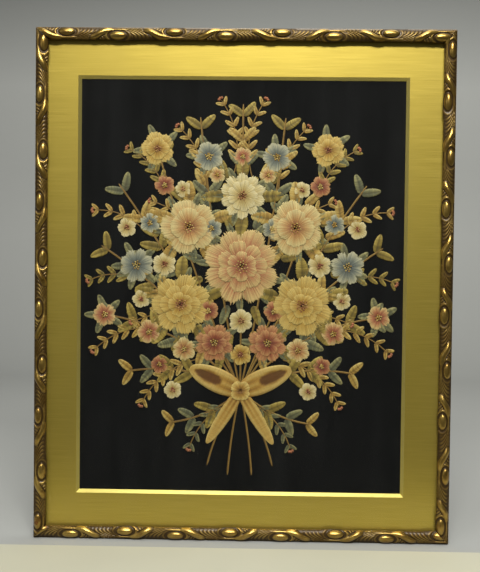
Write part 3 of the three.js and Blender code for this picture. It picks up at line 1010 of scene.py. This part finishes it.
def add_line(work, points, headings, form):
    """A line of slanting stem stitches along a path, each painted lighter on its crest and darker between
    as painted light and painted shade.
    """
    run = np.r_[0, np.cumsum(np.linalg.norm(np.diff(points, axis=0), axis=1))][:, None]
    w = np.array(LINE.rows)[None, :]
    half = form.width / 2 * lerp(LINE.tip_width, 1, np.minimum(1, (run[-1] - run) / LINE.tip))
    x = points[:, :1] - headings[:, 1:] * half * w
    z = points[:, 1:] + headings[:, :1] * half * w
    twist = np.abs(np.sin(np.pi * (run / LINE.stitch + LINE.slant * w)))
    tall = form.height + LINE.rise * dome(LINE.edge * w) + LINE.twist * twist
    # Lighter on each stitch's crest and darker between: painted light and painted shade
    shade = LINE.shade + LINE.twist_shade * twist
    tone = LINE.tone + LINE.tone_across * w + LINE.tone_mix * work.random.standard_normal(run.shape)
    add_form(work, x, z, tall, shades(tone, PALETTES["bark"]) * shade[..., None])


def add_pair(work, at, heading, share, form, length, kind):
    """Two leaves that lean to both sides of a stem. They are smaller towards its tip."""
    degrees = math.degrees(math.atan2(heading[1], heading[0]))
    length = length * (form.fullest - form.shrink * share)
    for lean in (-form.lean, form.lean):
        leaf = Sizes(length=length, width=length * form.slimness, height=form.height)
        add_leaf(work, at, degrees + lean, leaf, kind)


def both_sides(x):
    """The sides on which a form stands: one for a form in the middle, two for the others."""
    return (1,) if x == 0 else (1, -1)


def mirrored(at):
    """A place of the right-hand half and its mirror image, which a place in the middle doesn't have."""
    return [(side * at[0], at[1]) for side in both_sides(at[0])]


def build_stems(random, material):
    """Stems with their leaves in pairs."""
    work = Work(random)
    for number, stem in enumerate(STEMS):
        for side in both_sides(stem.tip[0]):
            points, headings = stem_points(stem, side, np.linspace(0, 1, STEM.steps))
            add_line(work, points, headings, STEM)
            for i in range(stem.pairs):
                share = lerp(stem.first, STEM.last, i / max(1, stem.pairs - 1))
                (at,), (heading,) = stem_points(stem, side, share)
                kind = STEM_LEAVES[(number + i) % len(STEM_LEAVES)]
                add_pair(work, at, heading, share, STEM, stem.leaf, kind)
    work.finish("stems_and_leaves", material)


def sprig_points(sprig, side):
    """Points and headings along a sprig, which bends outwards."""
    root, tip = (np.array([side * x, z], float) for x, z in (sprig.root, sprig.tip))
    run = tip - root
    bend = 4 * SPRIG.bend * side * np.array([-run[1], run[0]])
    t = np.linspace(0, 1, SPRIG.steps)[:, None]
    heading = run + bend * (1 - 2 * t)
    return root + run * t + bend * (t - t**2), heading / np.linalg.norm(heading, axis=1, keepdims=True)


def build_sprigs(random, material):
    """Fine sprigs with small leaves, and berries at their tips."""
    work = Work(random)
    for sprig in SPRIGS:
        for side in (1, -1):
            points, headings = sprig_points(sprig, side)
            add_line(work, points, headings, SPRIG)
            for i in range(sprig.pairs):
                share = lerp(SPRIG.first, SPRIG.last, i / (sprig.pairs - 1))
                k = round(share * (SPRIG.steps - 1))
                add_pair(work, points[k], headings[k], share, SPRIG, SPRIG.leaf, sprig.palette)
            heading = math.degrees(math.atan2(headings[-1, 1], headings[-1, 0]))
            for turn in SPRIG.berry_turns:
                at = turned(SPRIG.berry * SPRIG.berry_at, 0, heading + turn, points[-1])
                add_knot(work, at, SPRIG.berry_height, SPRIG.berry, PALETTES["rose"][1])
    work.finish("sprigs", material)


def add_round(work, centre, degrees, start, leaf, kind):
    """A leaf that points away from a centre."""
    add_leaf(work, turned(start, 0, degrees, centre), degrees, leaf, kind)


def build_collars(random, material):
    """Leaves that show round the blooms, with darker ones under them."""
    work = Work(random)
    for number, bloom in enumerate(BLOOMS):
        for centre in mirrored(bloom.at):
            under = max(UNDER.fewest, round(bloom.radius / UNDER.spacing))
            for i in range(under):
                degrees = 360 * (i + 0.5) / under + random.uniform(-UNDER.turn, UNDER.turn)
                add_round(work, centre, degrees, bloom.radius - UNDER.sunk, UNDER, "teal")
            for i in range(bloom.collar):
                degrees = 90 + 360 * i / bloom.collar
                kind = COLLAR.kinds[number % 2]
                add_round(work, centre, degrees, bloom.radius - COLLAR.sunk, COLLAR, kind)
    work.finish("collar_leaves", material)


def build_fill(random, material):
    """Leaves that fill the ground between the blooms."""
    work = Work(random)
    for ring in FILL_RINGS:
        length = ring.length
        leaf = Sizes(length=length, width=length * FILL.slimness, height=FILL.height)
        for i in range(ring.count):
            degrees = 90 + 360 * (i + 0.5) / ring.count + random.uniform(-FILL.turn, FILL.turn)
            kind = ring.kinds[i % len(ring.kinds)]
            add_round(work, FILL.middle, degrees, ring.radius, leaf, kind)
    work.finish("fill_leaves", material)


def build_blooms(random, material):
    """The large and small blooms, the blossoms between them, and the knots of their hearts."""
    large, small, blossoms, knots = (Work(random) for _ in range(4))
    for bloom in BLOOMS:
        for at in mirrored(bloom.at):
            work = large if bloom.radius > LARGE_BLOOM else small
            add_bloom(work, knots, at, bloom, bloom.layers)
    for blossom in BLOSSOMS:
        for at in mirrored(blossom.at):
            add_bloom(blossoms, knots, at, blossom, 1)
    large.finish("large_blooms", material)
    small.finish("small_blooms", material)
    blossoms.finish("blossoms", material)
    knots.finish("knots", material)


def add_ribbon(work, degrees, part):
    """A loop or tail of ribbon in satin stitches across its width, with lighter edges and folds that run
    out from the knot, painted lighter where they rise and darker where they sink. A loop shows its sunk
    opening in painted shade."""
    length, width = part.length, part.width
    place, ridge, number = threads_across(round(length / PETAL_PITCH))
    t = place[:, None]
    w = np.linspace(-1, 1, RIBBON.columns)[None, :]
    half = 0.5 * width * dome(2 * t ** RIBBON.widest_power - 1)
    x, z = turned(t * length + 0 * w, half * w, degrees, TIE)
    folds = np.cos(RIBBON.folds * np.pi * w) * (1 - t) ** RIBBON.fold_fade
    away = np.hypot((t - OPENING.at) / OPENING.reach, w / OPENING.width)
    opening = part.open * ease((1 - away) / OPENING.edge + 0.5)
    body = dome(RIBBON.edge * w) * dome(RIBBON.tip * (2 * t - 1))
    tall = part.height + RIBBON.rise * body + RIBBON.fold_rise * folds * dome(2 * t - 1)
    tall = tall + ridge[:, None] - OPENING.sunk * opening
    # The folds are painted lighter where they rise and darker where they sink: painted light and painted
    # shade
    tone = RIBBON.tone + RIBBON.tone_edge * np.abs(w) ** 3 + RIBBON.tone_fold * folds
    # The opening is darker here in its tone and below in its shade: painted shade
    tone = tone - RIBBON.tone_root * (1 - t) ** 3 - OPENING.dark * opening
    tone = tone + varied(work, number, RIBBON.tone_mix)[:, None]
    shade = 1 + varied(work, number, RIBBON.shade_mix)[:, None] - OPENING.shade * opening
    add_form(work, x, z, tall, shades(tone, PALETTES["ribbon"]) * shade[..., None])


def build_bow(random, material):
    """The bow that ties the stems: two tails, two loops and a knot."""
    work = Work(random)
    for part in (BOW_TAIL, BOW_LOOP):
        for degrees in (part.slope, 180 - part.slope):
            add_ribbon(work, degrees, part)
    form = (BOW_KNOT.radius, BOW_KNOT.spread, BOW_KNOT.height, BOW_KNOT.rise)
    for i in range(BOW_KNOT.petals):
        add_petal(work, TIE, BOW_KNOT.turn + 360 * i / BOW_KNOT.petals, *form, PALETTES["ribbon"])
    work.finish("bow", material)


def build_needlework():
    """The whole spray, in place of its low relief."""
    random = np.random.default_rng(SEED)
    thread = needlework_thread()
    build_stems(random, thread)
    build_sprigs(random, thread)
    build_collars(random, thread)
    build_fill(random, thread)
    build_blooms(random, thread)
    build_bow(random, thread)


def build_cloth():
    """The ground cloth: a thin closed sheet, faintly uneven, in place of the flat one."""
    low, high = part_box("ground_cloth")
    columns, rows = CLOTH_GRID
    x, z = np.meshgrid(np.linspace(low.x, high.x, columns) / MM, np.linspace(low.z, high.z, rows) / MM)
    across = np.sin(x / CLOTH_WAVES.across + np.sin(z / CLOTH_WAVES.sway))
    upwards = np.sin(z / CLOTH_WAVES.up + CLOTH_WAVES.shift)
    uneven = CLOTH_WAVES.rise * (1 + across * upwards)
    front = np.stack([x, CLOTH_FRONT + uneven, z], -1).reshape(-1, 3)
    back = np.stack([x, CLOTH_FRONT + CLOTH_THICKNESS + 0 * x, z], -1).reshape(-1, 3)
    count = rows * columns
    faces = grid_faces(rows, columns)
    faces += [[i + count for i in face[::-1]] for face in faces]
    index = np.arange(count).reshape(rows, columns)
    rim = np.r_[index[0], index[1:, -1], index[-1, -2::-1], index[-2:0:-1, 0]].tolist()
    for near, after in zip(rim, rim[1:] + rim[:1]):
        faces.append([near, near + count, after + count, after])
    cloth = add_piece("cloth_sheet", np.concatenate([front, back]), faces, black_cloth())
    cloth.data.set_sharp_from_angle(angle=math.radians(CLOTH_SHARP))
    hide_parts("ground_cloth")


def finish_nodes(nodes):
    """Gives the nodes that stay as they are their materials."""
    made = {"window_mount": mount_gilt(), "glass": picture_glass(), "back_board": back_board()}
    for name, material in made.items():
        slots = nodes[name].data.materials
        slots.clear()
        slots.append(material)


# The studio


def build_camera():
    """The photograph's camera."""
    turn = Matrix.Rotation(math.radians(YAW), 3, "Z")
    turn = turn @ Matrix.Rotation(math.radians(PITCH), 3, "X") @ Matrix.Rotation(math.radians(ROLL), 3, "Y")
    right, forward, up = turn.col
    axes = Matrix((right, up, -forward)).transposed()
    lens = bpy.data.cameras.new("camera")
    lens.sensor_width = SENSOR
    lens.lens = SENSOR * FOCAL_LENGTH / PHOTO_HEIGHT
    camera = bpy.data.objects.new("camera", lens)
    camera.matrix_world = Matrix.Translation(CAMERA_AT) @ axes.to_4x4()
    bpy.context.scene.collection.objects.link(camera)
    bpy.context.scene.camera = camera


def add_staged(name, points, faces, material):
    """A mesh, in metres, that isn't part of the object."""
    mesh = bpy.data.meshes.new(name)
    mesh.from_pydata(points, [], faces)
    mesh.shade_smooth()
    mesh.materials.append(material)
    staged = bpy.data.objects.new(name, mesh)
    bpy.context.scene.collection.objects.link(staged)
    return staged


def floor_strip(name, near, far, material):
    """A flat strip of floor between two places in y."""
    half, z = SWEEP.half_width, -FLOOR_DROP
    corners = [(-half, near, z), (half, near, z), (half, far, z), (-half, far, z)]
    return add_staged(name, corners, [(0, 1, 2, 3)], material)


def build_studio():
    """A pale floor in front, and a grey sweep that runs from the frame's foot back and up."""
    half, radius = SWEEP.half_width, SWEEP.radius
    pale = plain_matt("pale_floor", linear(184, 183, 166), linear(192, 191, 174))
    floor_strip("floor", FLOOR_FRONT, FLOOR_EDGE, pale)
    # The photograph's floor is short, so the mount and the gilding don't mirror what lies further forward
    forward = floor_strip("floor_forward", FLOOR_REACH, FLOOR_FRONT, pale)
    forward.visible_glossy = False
    forward.visible_diffuse = False
    z = -FLOOR_DROP
    turn_at = SWEEP.back - radius
    turns = np.linspace(0, np.pi / 2, SWEEP.steps)
    bend = [(turn_at + radius * math.sin(a), z + radius * (1 - math.cos(a))) for a in turns]
    profile = [(FLOOR_EDGE, z)] + bend + [(SWEEP.back, SWEEP.height)]
    points = [(x, y, h) for y, h in profile for x in (-half, half)]
    faces = [(2 * i, 2 * i + 1, 2 * i + 3, 2 * i + 2) for i in range(len(profile) - 1)]
    add_staged("grey_sweep", points, faces, sweep_grey())


def build_lights():
    for light in LIGHTS:
        lamp = bpy.data.lights.new(light.name, "AREA")
        lamp.shape = "RECTANGLE"
        lamp.size, lamp.size_y = light.size
        lamp.energy = light.watts
        lamp.color = LIGHT_TINT
        holder = bpy.data.objects.new(light.name, lamp)
        at, to = Vector(light.at), Vector(light.to)
        turn = (to - at).to_track_quat("-Z", "Y").to_matrix().to_4x4()
        holder.matrix_world = Matrix.Translation(at) @ turn
        bpy.context.scene.collection.objects.link(holder)
    world = bpy.data.worlds.new("studio")
    world.use_nodes = True
    background = world.node_tree.nodes["Background"]
    background.inputs["Color"].default_value = (*WORLD.colour, 1)
    background.inputs["Strength"].default_value = WORLD.strength
    bpy.context.scene.world = world
    bpy.context.scene.view_settings.view_transform = "Standard"


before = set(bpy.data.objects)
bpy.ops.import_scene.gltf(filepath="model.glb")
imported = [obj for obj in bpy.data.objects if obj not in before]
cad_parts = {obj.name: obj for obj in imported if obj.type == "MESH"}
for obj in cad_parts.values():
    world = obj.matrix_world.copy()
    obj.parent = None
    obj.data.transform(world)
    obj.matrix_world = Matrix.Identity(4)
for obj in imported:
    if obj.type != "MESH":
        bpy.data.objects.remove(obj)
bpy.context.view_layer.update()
build_camera()
build_studio()
build_lights()
finish_nodes(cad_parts)
build_rails()
build_cloth()
build_needlework()
